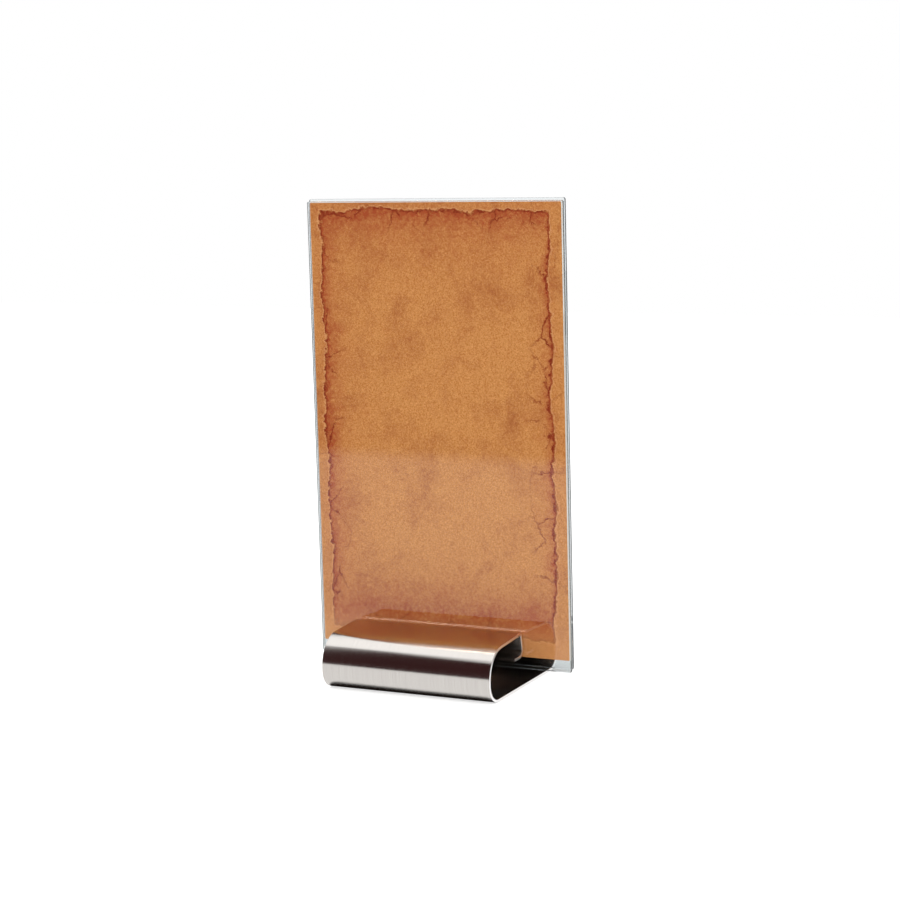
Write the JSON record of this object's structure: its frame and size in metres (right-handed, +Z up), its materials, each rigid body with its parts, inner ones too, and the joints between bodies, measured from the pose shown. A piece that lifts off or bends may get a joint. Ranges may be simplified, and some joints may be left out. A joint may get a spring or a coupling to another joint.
{
  "type": "table card holder",
  "caption": "Upright clear panel with a printed card inside, gripped in the slot of a brushed steel foot whose ends are folded over towards the middle.",
  "frame": {"origin": "on the table, under the middle of the clear sheets and of the foot's depth", "axes": "+X to the reader's right along the foot, +Y away from the reader through the panel, +Z up"},
  "size_m": [0.12, 0.073, 0.2079],
  "materials": {
    "brushed_steel": "brushed along the strip",
    "clear_acrylic": "clear, polished",
    "printed_card": "matt, printed like old parchment"
  },
  "bodies": {
    "foot": {"clip_foot": "brushed_steel"},
    "front_sheet": {"front_sheet": "clear_acrylic"},
    "rear_sheet": {"rear_sheet": "clear_acrylic"},
    "card": {"card": "printed_card"}
  },
  "joints": [
    {"name": "front_sheet_slide", "type": "slide", "parent": "foot", "child": "front_sheet", "axis": [0, 0, 1], "range_m": [-0.0064, 0.04]},
    {"name": "rear_sheet_slide", "type": "slide", "parent": "foot", "child": "rear_sheet", "axis": [0, 0, 1], "range_m": [-0.0074, 0.04]},
    {"name": "card_slide", "type": "slide", "parent": "foot", "child": "card", "axis": [0, 0, 1], "range_m": [-0.0114, 0.2]}
  ]
}
